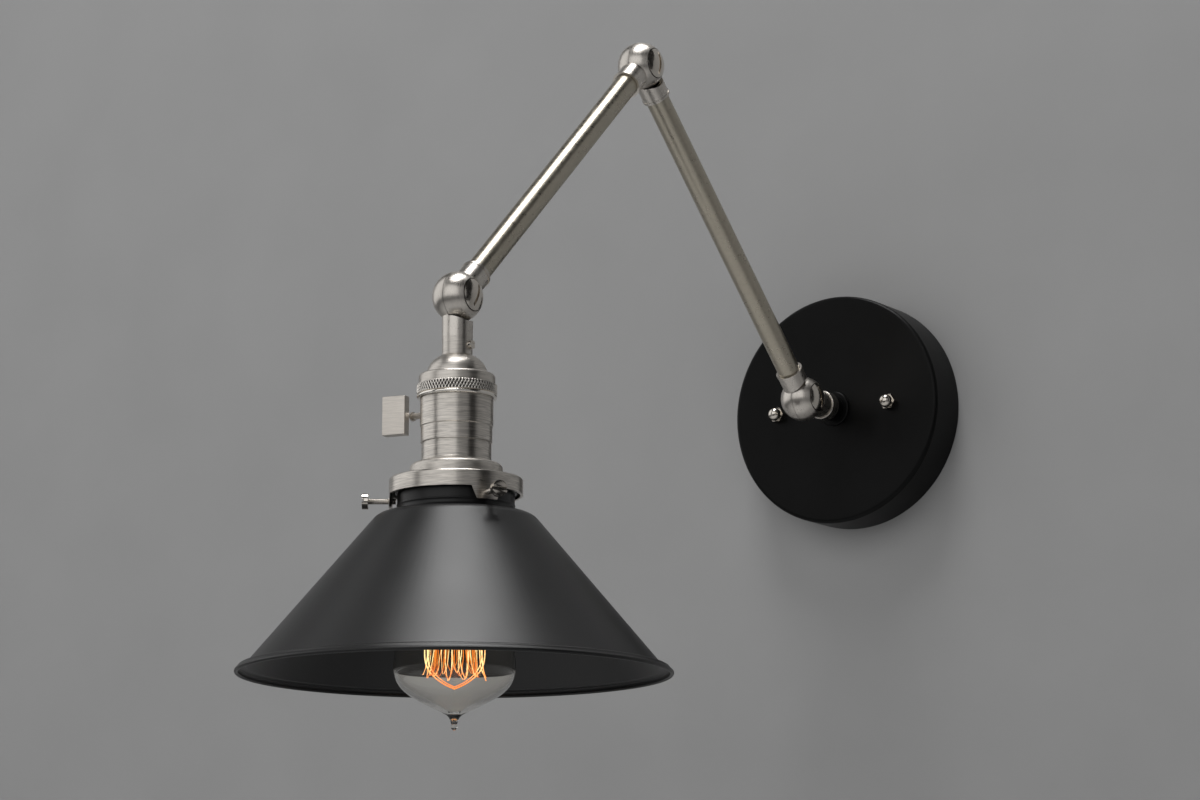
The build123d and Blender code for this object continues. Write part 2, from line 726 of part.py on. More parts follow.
window_top_drop = shell_drop + window_rim
window_inside = flange_bore_radius + flange_collar_wall
window_outside = flange_radius + 1
with BuildPart() as flange_windows:
    for angle in holder_angles:
        with BuildSketch(radial_section(angle + gap_turn - window_arc / 2)):
            with BuildLine():
                Polyline((window_inside, -window_top_drop), (window_outside, -window_top_drop),
                         (window_outside, -flange_drop - 1), (window_inside, -flange_drop - 1), close=True)
            make_face()
        revolve(axis=drop_axis, revolution_arc=window_arc)
    top_corners = flange_windows.edges().filter_by(GeomType.LINE).group_by(Axis.Z)[-1]
    fillet(top_corners, window_corner_radius)

with BuildPart() as fitter_flange:
    turn(
        drop_section, drop_axis,
        [(flange_bore_radius, -shell_drop), (flange_top_radius, -shell_drop),
         (flange_radius, -flange_drop + flange_edge_height), (flange_radius, -flange_drop),
         (flange_bore_radius, -flange_drop)],
    )
    add(flange_windows.part, mode=Mode.SUBTRACT)
keep(fitter_flange, "fitter_flange")


def gap_half_width(tab_width):
    """Half the chord of the opening between two tabs of the given width."""
    tab_half_angle = tab_width / 2 / holder_radius
    return holder_radius * sin(radians(gap_turn) - tab_half_angle)


gap_planes = [outward_plane(angle + gap_turn, holder_drop) for angle in holder_angles]
gap_height = tab_drop - holder_drop + 1
with BuildPart() as shade_holder:
    turn(
        drop_section, drop_axis,
        [(flange_bore_radius, -flange_drop), (holder_radius, -flange_drop), (holder_radius, -tab_drop),
         (holder_inside, -tab_drop), (holder_inside, -flange_drop - holder_wall),
         (flange_bore_radius, -flange_drop - holder_wall)],
        {(holder_radius, -flange_drop): holder_edge_radius},
    )
    with BuildSketch(*gap_planes):
        with BuildLine():
            Polyline((-gap_half_width(tab_top_width), 0), (gap_half_width(tab_top_width), 0),
                     (gap_half_width(tab_bottom_width), -gap_height),
                     (-gap_half_width(tab_bottom_width), -gap_height), close=True)
        make_face()
    extrude(amount=2 * holder_radius, mode=Mode.SUBTRACT)
    with BuildSketch(*[outward_plane(angle, thumbscrew_drop) for angle in holder_angles]):
        Circle(thumbscrew_radius + running_gap)
    extrude(amount=2 * holder_radius, mode=Mode.SUBTRACT)
keep(shade_holder, "shade_holder")

thumbscrew_tip = shade_neck_radius + soft_gap


def is_head_edge(edge):
    """Whether a round edge is as large as a thumbscrew's head."""
    return edge.radius > (thumbscrew_radius + thumbscrew_head_radius) / 2


for name, angle in zip(("left", "front", "back"), holder_angles):
    screw_plane = outward_plane(angle, thumbscrew_drop)
    with BuildPart() as thumbscrew:
        with BuildSketch(screw_plane.offset(thumbscrew_tip)):
            Circle(thumbscrew_radius)
        extrude(amount=thumbscrew_reach - thumbscrew_tip)
        with BuildSketch(screw_plane.offset(thumbscrew_reach)):
            Circle(thumbscrew_head_radius)
        extrude(amount=thumbscrew_head_thickness)
        head_edges = thumbscrew.edges().filter_by(GeomType.CIRCLE).filter_by(is_head_edge)
        fillet(head_edges, thumbscrew_edge_radius)
        with BuildSketch(screw_plane.offset(thumbscrew_reach + thumbscrew_head_thickness)):
            Rectangle(thumbscrew_slot_width, 3 * thumbscrew_head_radius)
        extrude(amount=-thumbscrew_slot_depth, mode=Mode.SUBTRACT)
    keep(thumbscrew, f"thumbscrew_{name}")

# ================================================================ shade
with BuildPart() as shade:
    with BuildSketch(drop_section):
        with BuildLine():
            FilletPolyline((sheet_neck_radius, -shade_lip_drop), (sheet_neck_radius, -sheet_cone_start_drop),
                           (sheet_cone_start_radius, -sheet_cone_start_drop),
                           (sheet_cone_end_radius, -sheet_cone_end_drop),
                           (sheet_rim_radius, -sheet_cone_end_drop), (sheet_rim_radius, -sheet_bead_drop),
                           radius=(shade_neck_round + sheet_half, shade_shoulder_round - sheet_half,
                                   shade_crease_round + sheet_half, 0.9 * shade_flare_height))
            offset(amount=sheet_half)
        make_face()
        with Locations((shade_neck_radius + (shade_lip_width - shade_wall) / 2, -shade_lip_drop)):
            Rectangle(shade_lip_width + shade_wall, shade_lip_height)
        with Locations((sheet_neck_radius, -shade_ridge_drop)):
            Circle(shade_ridge_radius)
        with Locations((sheet_rim_radius, -sheet_bead_drop)):
            Circle(shade_bead_radius)
    revolve(axis=drop_axis)
keep(shade, "shade")

# ================================================================ bulb
with BuildPart() as bulb_contact:
    with BuildSketch(drop_frame.offset(-insulator_drop)):
        Circle(bulb_contact_radius)
    extrude(amount=bulb_contact_height)
    solder_edge = bulb_contact.edges().filter_by(GeomType.CIRCLE).sort_by(Axis.Z)[-1]
    fillet(solder_edge, bulb_contact_height * 0.8)
keep(bulb_contact, "bulb_contact")

with BuildPart() as bulb_insulator:
    turn(
        drop_section, drop_axis,
        [(0, -insulator_drop), (bulb_contact_radius + 1, -insulator_drop),
         (bulb_base_shoulder, -base_start_drop), (0, -base_start_drop)],
    )
keep(bulb_insulator, "bulb_insulator")

with BuildPart() as bulb_base:
    base_slope_drop = base_start_drop + bulb_base_slope
    turn(
        drop_section, drop_axis,
        [(0, -base_start_drop), (bulb_base_shoulder, -base_start_drop), (bulb_base_radius, -base_slope_drop),
         (bulb_base_radius, -base_end_drop), (bulb_base_radius - bulb_base_wall, -base_end_drop),
         (bulb_base_radius - bulb_base_wall, -base_slope_drop - bulb_base_wall),
         (0, -base_slope_drop - bulb_base_wall)],
    )
keep(bulb_base, "bulb_base")


def glass_line(inset):
    """The bulb's outline from its neck to its tip, set in by the thickness of the glass."""
    neck = glass_neck_radius - inset
    widest = bulb_radius - inset
    swell = widest - neck
    sides = Spline((neck, -base_end_drop),
                   (neck + 0.23 * swell, -base_end_drop - 0.23 * bulb_body_height),
                   (widest - 0.23 * swell, -bulb_widest_drop + 0.38 * bulb_body_height),
                   (widest, -bulb_widest_drop), tangents=[(0, -1), (0, -1)])
    crown = Spline(sides @ 1, (0.72 * widest, -bulb_widest_drop - 0.62 * bulb_crown_height + inset),
                   (bulb_tip_radius - inset / 2, -bulb_tip_drop + inset), tangents=[(0, -1), (-1, -0.55)])
    return sides, crown


pip_joint = (0.6 * bulb_pip_radius, -bulb_pip_drop)
with BuildPart() as bulb_glass:
    with BuildSketch(drop_section):
        with BuildLine():
            outer_side, outer_crown = glass_line(0)
            inner_side, inner_crown = glass_line(glass_thickness)
            Line((glass_neck_radius, -glass_start_drop), outer_side @ 0)
            Polyline(outer_crown @ 1, pip_joint, (0, -bulb_pip_drop),
                     (0, (inner_crown @ 1).Y), inner_crown @ 1)
            Polyline(inner_side @ 0, (glass_neck_radius - glass_thickness, -glass_start_drop),
                     (glass_neck_radius, -glass_start_drop))
        make_face()
    revolve(axis=drop_axis)
    with Locations(socket_ball + Vector(0, 0, -bulb_pip_drop)):
        Sphere(bulb_pip_radius)
keep(bulb_glass, "bulb_glass")

with BuildPart() as glass_stem:
    turn(
        drop_section, drop_axis,
        [(0, -glass_start_drop), (glass_neck_radius - glass_thickness - slip_gap, -glass_start_drop),
         (stem_radius, -glass_start_drop - stem_slope_height),
         (stem_tip_radius, -stem_drop + stem_slope_height), (stem_tip_radius, -stem_drop), (0, -stem_drop)],
    )
keep(glass_stem, "glass_stem")


def wire(start, end, radius, hook_radius):
    """A straight round wire between two points below the socket ball, with a small bead at its end."""
    length = (end - start).length
    with Locations(Plane(origin=start, z_dir=end - start).location):
        Cylinder(radius, length, align=(Align.CENTER, Align.CENTER, Align.MIN))
    with Locations(end):
        Sphere(hook_radius)


def around(radius, angle, drop):
    """A point at a radius and angle about the socket axis."""
    return Vector(radius * cos(radians(angle)), radius * sin(radians(angle)), -drop)


leg_turn = 360 / filament_legs
with BuildPart(drop_frame) as filament:
    for leg in range(filament_legs):
        top = around(filament_top_radius, leg * leg_turn, filament_top_drop)
        bottom = around(filament_bottom_radius, (leg + 0.5) * leg_turn, filament_bottom_drop)
        next_top = around(filament_top_radius, (leg + 1) * leg_turn, filament_top_drop)
        wire(top, bottom, filament_wire_radius, filament_hook_radius)
        wire(bottom, next_top, filament_wire_radius, filament_hook_radius)
keep(filament, "filament")

support_tip_radius = filament_top_radius - filament_hook_radius - support_hook_radius - slip_gap
with BuildPart(drop_frame) as filament_supports:
    with Locations((0, 0, -stem_drop)):
        Cylinder(stem_tip_radius, support_hub_height, align=(Align.CENTER, Align.CENTER, Align.MAX))
    for leg in range(0, filament_legs, 2):
        wire(around(stem_tip_radius / 2, leg * leg_turn, stem_drop + support_hub_height / 2),
             around(support_tip_radius, leg * leg_turn, filament_top_drop),
             support_wire_radius, support_hook_radius)
keep(filament_supports, "filament_supports")
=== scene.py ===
import json
from math import asin, atan2, cos, floor, pi, radians, sin, sqrt, tan

import bmesh
import bpy
from mathutils import Matrix, Vector
from mathutils.geometry import interpolate_bezier


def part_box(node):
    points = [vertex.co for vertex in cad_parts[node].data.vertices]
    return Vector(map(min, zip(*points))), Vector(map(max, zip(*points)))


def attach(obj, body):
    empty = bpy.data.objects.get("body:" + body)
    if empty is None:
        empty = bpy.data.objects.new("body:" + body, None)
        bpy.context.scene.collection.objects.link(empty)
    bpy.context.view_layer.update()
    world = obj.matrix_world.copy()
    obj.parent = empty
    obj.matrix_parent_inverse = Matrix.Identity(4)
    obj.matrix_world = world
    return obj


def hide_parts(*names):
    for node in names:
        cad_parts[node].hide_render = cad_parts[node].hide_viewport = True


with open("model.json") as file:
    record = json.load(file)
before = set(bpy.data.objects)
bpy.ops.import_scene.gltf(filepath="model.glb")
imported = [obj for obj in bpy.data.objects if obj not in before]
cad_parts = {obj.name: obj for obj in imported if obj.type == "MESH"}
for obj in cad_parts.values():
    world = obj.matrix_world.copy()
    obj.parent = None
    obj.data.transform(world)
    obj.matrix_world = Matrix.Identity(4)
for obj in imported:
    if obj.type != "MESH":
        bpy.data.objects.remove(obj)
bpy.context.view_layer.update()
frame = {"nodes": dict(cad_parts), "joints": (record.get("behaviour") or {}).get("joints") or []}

# The scene is in metres. The wall is the plane y = 0, the lamp reaches out along -Y, and +Z is up.
# Sizes of small detail are written in millimetres, and turned into metres by MM.
# Along the socket a place is (radius, drop): from the socket axis, and below the socket ball.
MM = 0.001
SOCKET_BALL = next(Vector(joint["pos_m"]) for joint in frame["joints"] if joint["name"] == "socket_tilt")
THUMBSCREWS = {joint["child"]: joint for joint in frame["joints"] if joint["type"] == "slide"}


def drops(node):
    """The largest radius, and the upper and lower drop, of a node turned about the socket axis, in mm."""
    low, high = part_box(node)
    return (high[0] - low[0]) / 2 / MM, (SOCKET_BALL.z - high[2]) / MM, (SOCKET_BALL.z - low[2]) / MM


# ---------------------------------------------------------------- materials
NICKEL = (0.60, 0.565, 0.52)
# the tubes' nickel: warmer than the rest, and darker as a painted shade for the dark surroundings that the
# tubes reflect
SHADED_TUBE_NICKEL = (0.47, 0.43, 0.355)


def new_material(name, colour, metallic, roughness, **inputs):
    """A material with one Principled shader, and its node tree and shader."""
    material = bpy.data.materials.new(name)
    material.use_nodes = True
    tree = material.node_tree
    shader = tree.nodes["Principled BSDF"]
    shader.inputs["Base Color"].default_value = (*colour, 1)
    shader.inputs["Metallic"].default_value = metallic
    shader.inputs["Roughness"].default_value = roughness
    for socket, value in inputs.items():
        shader.inputs[socket.replace("_", " ")].default_value = value
    return material, tree, shader


def noise(tree, scale, stretch=(1, 1, 1), detail=3.0, distortion=0.0):
    """Noise of the given number of features per metre, squeezed along each axis by stretch."""
    place = tree.nodes.new("ShaderNodeTexCoord")
    mapping = tree.nodes.new("ShaderNodeMapping")
    mapping.inputs["Scale"].default_value = [scale * s for s in stretch]
    texture = tree.nodes.new("ShaderNodeTexNoise")
    texture.inputs["Scale"].default_value = 1
    texture.inputs["Detail"].default_value = detail
    texture.inputs["Distortion"].default_value = distortion
    tree.links.new(place.outputs["Object"], mapping.inputs["Vector"])
    tree.links.new(mapping.outputs["Vector"], texture.inputs["Vector"])
    return texture.outputs["Fac"]


def spread(tree, value, low, high, start=0.3, end=0.7):
    """Maps a value to a range."""
    ramp = tree.nodes.new("ShaderNodeMapRange")
    ramp.inputs["From Min"].default_value = start
    ramp.inputs["From Max"].default_value = end
    ramp.inputs["To Min"].default_value = low
    ramp.inputs["To Max"].default_value = high
    tree.links.new(value, ramp.inputs["Value"])
    return ramp.outputs["Result"]


def combine(tree, operation, first, second):
    """One math node between two values."""
    node = tree.nodes.new("ShaderNodeMath")
    node.operation = operation
    tree.links.new(first, node.inputs[0])
    tree.links.new(second, node.inputs[1])
    return node.outputs["Value"]


def tint(tree, value, low, high, start=0.3, end=0.7):
    """Mixes two colours by a value."""
    ramp = tree.nodes.new("ShaderNodeValToRGB")
    ramp.color_ramp.elements[0].position = start
    ramp.color_ramp.elements[0].color = (*low, 1)
    ramp.color_ramp.elements[1].position = end
    ramp.color_ramp.elements[1].color = (*high, 1)
    tree.links.new(value, ramp.inputs["Fac"])
    return ramp.outputs["Color"]


def roughen(tree, shader, height, strength, depth):
    """Feeds a height into the shader's normal."""
    bump = tree.nodes.new("ShaderNodeBump")
    bump.inputs["Strength"].default_value = strength
    bump.inputs["Distance"].default_value = depth
    tree.links.new(height, bump.inputs["Height"])
    tree.links.new(bump.outputs["Normal"], shader.inputs["Normal"])


def brushed_nickel(name, stretch, colour=NICKEL, roughness=0.26, lines_depth=0.4, waviness=0.0, contrast=0.12,
                   anisotropy=0.0):
    """Satin nickel with fine lines left by the brushing, across the direction in which stretch is largest."""
    material, tree, shader = new_material(name, colour, 1.0, roughness, Anisotropic=anisotropy,
                                          Anisotropic_Rotation=0.25)
    lines = noise(tree, 800, stretch, detail=4.0, distortion=waviness)
    cloud = noise(tree, 60, detail=2.0)
    darker = [c * (1 - contrast) for c in colour]
    lighter = [c * (1 + contrast) for c in colour]
    tree.links.new(tint(tree, lines, darker, lighter), shader.inputs["Base Color"])
    line_roughness = spread(tree, lines, -0.03, 0.06)
    cloud_roughness = spread(tree, cloud, roughness - 0.01, roughness + 0.03)
    tree.links.new(combine(tree, "ADD", line_roughness, cloud_roughness), shader.inputs["Roughness"])
    roughen(tree, shader, lines, lines_depth, 0.04 * MM)
    return material


def knurled_nickel_shaded_pits(name="knurled_nickel_shaded_pits"):
    """Nickel with painted shade in the knurl's pits: the deeper a place, the darker and rougher it is."""
    material, tree, shader = new_material(name, (0.72, 0.68, 0.62), 1.0, 0.20)
    pit = tree.nodes.new("ShaderNodeAttribute")
    pit.attribute_name = "pit"
    marks = noise(tree, 700, detail=3.0)
    # painted shade: the pit depth, varied a little by noise, darkens the colour towards black in the pits
    pit_shade = combine(tree, "MULTIPLY", pit.outputs["Fac"], spread(tree, marks, 0.75, 1.0))
    colour = tint(tree, pit_shade, (0.86, 0.82, 0.76), (0.03, 0.026, 0.022), 0.25, 0.75)
    tree.links.new(colour, shader.inputs["Base Color"])
    tree.links.new(spread(tree, pit_shade, 0.16, 0.45, 0.0, 1.0), shader.inputs["Roughness"])
    return material


def bright_nickel(name="bright_nickel"):
    """Polished nickel of the small screws and nuts, with faint handling marks."""
    material, tree, shader = new_material(name, (0.68, 0.635, 0.575), 1.0, 0.14)
    marks = noise(tree, 500, detail=4.0)
    tree.links.new(spread(tree, marks, 0.10, 0.24), shader.inputs["Roughness"])
    roughen(tree, shader, marks, 0.12, 0.02 * MM)
    return material


def matte_black(name, low, high, roughness, specular):
    """Black powder coat with a very fine grain."""
    material, tree, shader = new_material(name, high, 0.0, roughness, Specular_IOR_Level=specular)
    grain = noise(tree, 2200, detail=2.0)
    cloud = noise(tree, 30, detail=3.0)
    tree.links.new(tint(tree, cloud, low, high), shader.inputs["Base Color"])
    tree.links.new(spread(tree, cloud, roughness - 0.015, roughness + 0.02), shader.inputs["Roughness"])
    roughen(tree, shader, grain, 0.10, 0.03 * MM)
    return material


def plain(name, low, high, metallic, roughness, scale, bump=0.0):
    """A mottled material for the small inner pieces."""
    material, tree, shader = new_material(name, high, metallic, roughness)
    mottle = noise(tree, scale, detail=4.0)
    tree.links.new(tint(tree, mottle, low, high), shader.inputs["Base Color"])
    tree.links.new(spread(tree, mottle, roughness - 0.04, roughness + 0.06), shader.inputs["Roughness"])
    if bump:
        roughen(tree, shader, mottle, bump, 0.05 * MM)
    return material


def clear_glass(name="clear_glass"):
    """Bulb glass with the faint warm tint of an old-style lamp."""
    material, tree, shader = new_material(name, (0.995, 0.978, 0.94), 0.0, 0.0, Transmission_Weight=1.0,
                                          IOR=1.5)
    film = noise(tree, 60, detail=2.0)
    tree.links.new(spread(tree, film, 0.0, 0.012), shader.inputs["Roughness"])
    return material


GLOW_LOW_DROP = 190                 # below the socket ball, in millimetres
GLOW_HIGH_DROP = 177


def glowing_wire(name, cool, hot, strength):
    """The lit carbon wire: paler where it is hottest, high up, and more orange towards its loops."""
    material, tree, shader = new_material(name, (0.25, 0.1, 0.03), 0.0, 0.6)
    place = tree.nodes.new("ShaderNodeTexCoord")
    parts = tree.nodes.new("ShaderNodeSeparateXYZ")
    tree.links.new(place.outputs["Object"], parts.inputs["Vector"])
    height = spread(tree, parts.outputs["Z"], 0.0, 1.0, SOCKET_BALL.z - GLOW_LOW_DROP * MM,
                    SOCKET_BALL.z - GLOW_HIGH_DROP * MM)
    flicker = spread(tree, noise(tree, 330, detail=2.0), 0.15, 1.35)
    tree.links.new(tint(tree, combine(tree, "MULTIPLY", height, flicker), cool, hot, 0.0, 0.8),
                   shader.inputs["Emission Color"])
    shader.inputs["Emission Strength"].default_value = strength
    material.cycles.emission_sampling = "NONE"
    return material


TURNED = (0.12, 0.12, 2.8)          # brushing that runs round an upright axis
TURNED_OUT = (0.05, 2.4, 0.05)      # brushing that runs round the axis out of the wall

nickel_turned = brushed_nickel("nickel_turned", TURNED, roughness=0.30, lines_depth=0.6, waviness=0.8,
                               contrast=0.34, anisotropy=0.7)
nickel_cap = brushed_nickel("nickel_cap", TURNED, roughness=0.34, lines_depth=0.4, waviness=0.8,
                            contrast=0.2, anisotropy=0.45)
nickel_fitter = brushed_nickel("nickel_fitter", (0.10, 0.10, 1.0), roughness=0.36, lines_depth=0.6,
                               waviness=1.5, contrast=0.25)
nickel_wall = brushed_nickel("nickel_wall", TURNED_OUT)
nickel_ball = brushed_nickel("nickel_ball", (2.4, 0.5, 0.5), roughness=0.28, lines_depth=0.10, contrast=0.07)
# painted shade: the tubes get the darker nickel colour
nickel_tube_shaded = brushed_nickel("nickel_tube_shaded", (0.5, 0.5, 0.5), colour=SHADED_TUBE_NICKEL, roughness=0.28,
                             lines_depth=0.004, contrast=0.05)
nickel_key = brushed_nickel("nickel_key", (0.08, 0.8, 2.2), colour=(0.62, 0.58, 0.53), roughness=0.34,
                            lines_depth=0.3)
nickel_knurl = knurled_nickel_shaded_pits()
nickel_bright = bright_nickel()
black_shade = matte_black("black_shade", (0.008, 0.008, 0.0083), (0.011, 0.011, 0.0114), 0.37, 0.38)
black_plate = matte_black("black_plate", (0.0025, 0.0025, 0.0025), (0.004, 0.004, 0.004), 0.36, 0.12)
zinc = plain("zinc_plate", (0.40, 0.41, 0.44), (0.60, 0.60, 0.59), 1.0, 0.36, 260)
green = plain("ground_green", (0.02, 0.16, 0.05), (0.05, 0.30, 0.10), 0.3, 0.4, 300)
brass = plain("raw_brass", (0.55, 0.38, 0.16), (0.78, 0.58, 0.28), 1.0, 0.3, 200)
fibre = plain("fibre_liner", (0.16, 0.13, 0.10), (0.26, 0.22, 0.17), 0.0, 0.85, 700, bump=0.3)
moulding = plain("black_moulding", (0.02, 0.02, 0.02), (0.035, 0.035, 0.035), 0.0, 0.45, 400)
dark_glass = plain("dark_glass", (0.01, 0.01, 0.014), (0.02, 0.02, 0.026), 0.0, 0.12, 300)
glass = clear_glass()
glow = glowing_wire("glowing_wire", (1.0, 0.24, 0.02), (1.0, 0.80, 0.36), 1.6)
dim_glow = glowing_wire("dim_glowing_wire", (0.8, 0.12, 0.01), (1.0, 0.28, 0.03), 0.9)

NODE_MATERIALS = {
    black_plate: ["canopy", "canopy_bushing"],
    black_shade: ["shade"],
    zinc: ["wall_strap", "canopy_strap", "strap_eyelet", "canopy_studs", "stud_nuts", "canopy_nipple",
           "nipple_lockwasher", "nipple_locknut", "wall_swivel_washer", "elbow_washer",
           "socket_swivel_washer", "socket_nipple", "bulb_contact", "filament_supports"],
    green: ["ground_screw"],
    nickel_bright: ["cap_nuts", "wall_swivel_screw", "elbow_screw", "socket_swivel_screw", "cap_set_screw",
                    "thumbscrew_left", "thumbscrew_front", "thumbscrew_back"],
    nickel_wall: ["wall_coupling"],
    nickel_ball: ["wall_swivel_base", "wall_swivel_arm_half", "elbow_lower_half", "elbow_upper_half",
                  "socket_swivel_arm_half", "socket_swivel_drop_half"],
    nickel_tube_shaded: ["lower_arm_tube", "upper_arm_tube"],
    nickel_turned: ["socket_shell", "shade_holder"],
    nickel_cap: ["socket_cap"],
    nickel_fitter: ["fitter_flange"],
    nickel_knurl: ["knurled_ring"],
    nickel_key: ["key_stem", "key_paddle"],
    fibre: ["shell_liner"],
    moulding: ["socket_interior"],
    brass: ["terminal_screws", "screw_shell", "centre_contact", "bulb_base"],
    dark_glass: ["bulb_insulator"],
    glass: ["bulb_glass", "glass_stem"],
    glow: ["filament"],
}
for material, names in NODE_MATERIALS.items():
    for name in names:
        node = frame["nodes"][name]
        node.data.materials.clear()
        node.data.materials.append(material)


# ---------------------------------------------------------------- pieces
def finish_piece(piece, material, body, replaced):
    """Puts a finished piece in the scene, on its body, in place of the nodes that it stands for."""
    piece.data.materials.append(material)
    if piece.name not in bpy.context.scene.collection.objects:
        bpy.context.scene.collection.objects.link(piece)
    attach(piece, body)
    if replaced:
        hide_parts(*replaced)


def mesh_piece(name, mesh, material, body, replaced=(), crease=35):
    """A piece from a bmesh, smooth but for its creases."""
    bmesh.ops.remove_doubles(mesh, verts=mesh.verts, dist=1e-7)
    bmesh.ops.recalc_face_normals(mesh, faces=mesh.faces)
    data = bpy.data.meshes.new(name)
    mesh.to_mesh(data)
    mesh.free()
    data.polygons.foreach_set("use_smooth", [True] * len(data.polygons))
    data.set_sharp_from_angle(angle=radians(crease))
    piece = bpy.data.objects.new(name, data)
    finish_piece(piece, material, body, replaced)
    return piece


def wrap(mesh, rows, columns, place, closed):
    """A grid of quads that goes round by columns, and by rows too when it is closed."""
    grid = [[mesh.verts.new(place(row, 2 * pi * column / columns)) for column in range(columns)]
            for row in range(rows)]
    for row in range(rows if closed else rows - 1):
        upper, lower = grid[row], grid[(row + 1) % rows]
        for column in range(columns):
            after = (column + 1) % columns
            mesh.faces.new((upper[column], upper[after], lower[after], lower[column]))
    return grid


def below_ball(radius, angle, drop):
    """A point about the socket axis, from millimetres."""
    return SOCKET_BALL + Vector((radius * cos(angle), radius * sin(angle), -drop)) * MM


def ridge(turns, width):
    """How near a number of turns is to a whole one: 1 on a ridge, 0 further off than width."""
    off = abs(turns - floor(turns + 0.5))
    return max(0.0, 1.0 - off / width)


KNURL_COUNT = 74                    # ridges of each slant, round the ring
KNURL_ROWS = 2.9                    # diamonds from the top of the band to its bottom
KNURL_DEPTH = 0.5
KNURL_RIDGE = 0.34                  # half a ridge's width, as a share of its spacing
KNURL_COLUMNS = 8                   # columns of vertices for each ridge
KNURL_CLEARANCE = 0.15              # from the socket shell
KNURL_TOP_DROP = 0.8                # from the top of the CAD ring to each place
KNURL_START_DROP = 1.1
KNURL_END_DROP = 5.5
KNURL_BAND_ROWS = 24
KNURL_BEAD_DROP = 1.1               # from the bottom of the CAD ring to the bottom of the bead
KNURL_EDGE = 1.1                    # the width of the flat rim at the top and bottom
KNURL_BEAD_REACH = 0.75
KNURL_BEAD_STEPS = 8


def make_knurled_ring():
    """The knurled ring: crossing ridges round a band, over a plain bead."""
    radius, top, bottom = drops("knurled_ring")
    inside = drops("socket_shell")[0] + KNURL_CLEARANCE
    start, band_start, band_end = top + KNURL_TOP_DROP, top + KNURL_START_DROP, top + KNURL_END_DROP
    bottom += KNURL_BEAD_DROP
    outline = [(inside, start), (radius - KNURL_EDGE, start), (radius - 0.35, start + 0.1)]
    first = len(outline)
    for row in range(KNURL_BAND_ROWS + 1):
        outline.append((radius, band_start + (band_end - band_start) * row / KNURL_BAND_ROWS))
    last = len(outline) - 1
    outline.append((radius - 0.45, band_end + 0.12))
    bead_top = band_end + 0.2
    for step in range(KNURL_BEAD_STEPS + 1):
        turn = pi * (step / KNURL_BEAD_STEPS - 0.5)
        outline.append((radius - KNURL_BEAD_REACH * (1 - cos(turn)),
                        (bead_top + bottom + (bottom - bead_top) * sin(turn)) / 2))
    outline += [(radius - KNURL_EDGE, bottom), (inside, bottom - 0.1)]

    def height(row, angle):
        """The net's height on a row of the band, from 0 in a pit to 1 on a ridge."""
        along = (row - first) / KNURL_BAND_ROWS
        around = angle / (2 * pi) * KNURL_COUNT
        slant = KNURL_ROWS * (along - 0.5) / 2
        return max(ridge(around + slant, KNURL_RIDGE), ridge(around - slant, KNURL_RIDGE))

    def place(row, angle):
        reach, drop = outline[row]
        if first <= row <= last:
            reach -= KNURL_DEPTH * (1 - height(row, angle))
        return below_ball(reach, angle, drop)

    mesh = bmesh.new()
    columns = KNURL_COUNT * KNURL_COLUMNS
    # how deep each vertex lies in a pit, which the knurled material turns into painted shade
    pit = mesh.verts.layers.float.new("pit")
    grid = wrap(mesh, len(outline), columns, place, closed=True)
    for row in range(first, last + 1):
        for column, vertex in enumerate(grid[row]):
            vertex[pit] = 1 - height(row, 2 * pi * column / columns)
    mesh_piece("knurled_band", mesh, nickel_knurl, "socket", ["knurled_ring"], crease=60)


def rounded(corners):
    """A line through (x, y, radius) corners, each rounded by an arc of its radius."""
    line = [Vector(corners[0][:2])]
    for before, (x, y, radius), after in zip(corners, corners[1:], corners[2:]):
        corner = Vector((x, y))
        inwards = (Vector(before[:2]) - corner).normalized()
        onwards = (Vector(after[:2]) - corner).normalized()
        half = inwards.angle(onwards) / 2
        centre = corner + (inwards + onwards).normalized() * radius / sin(half)
        start = corner + inwards * radius / tan(half) - centre
        end = corner + onwards * radius / tan(half) - centre
        steps = max(2, int(radius * 2) + 2)
        for step in range(steps + 1):
            line.append(centre + start.slerp(end, step / steps).normalized() * radius if radius else corner)
    return line + [Vector(corners[-1][:2])]


def moved_aside(line, amount):
    """A line beside another, at an amount to its left that may be a number or a function of the point."""
    result = []
    for step, point in enumerate(line):
        along = (line[min(step + 1, len(line) - 1)] - line[max(step - 1, 0)]).normalized()
        result.append(point + Vector((along.y, -along.x)) * (amount(point) if callable(amount) else amount))
    return result


def make_lathe(name, outline, material, body, replaced, columns=128):
    """A piece turned about the socket axis from a closed outline of (radius, drop)."""
    mesh = bmesh.new()
    wrap(mesh, len(outline), columns, lambda row, angle: below_ball(outline[row][0], angle, outline[row][1]),
         closed=True)
    mesh_piece(name, mesh, material, body, replaced, crease=40)


CAP_COLLAR_RADIUS = 7.4
CAP_BORE_RADIUS = 6.2
CAP_DOME_RADIUS = 14.7
CAP_DOME_RISE = 11.0                # from the dome's widest place to the end of the whole egg
CAP_DOME_STEPS = 16
CAP_SKIRT = 4.3                     # from the dome's widest place to the bottom of the CAD cap
CAP_SHOULDER_RADIUS = 1.6
CAP_OVERLAP = 0.9                   # how far the skirt goes on into the knurled ring
CAP_WALL = 1.2


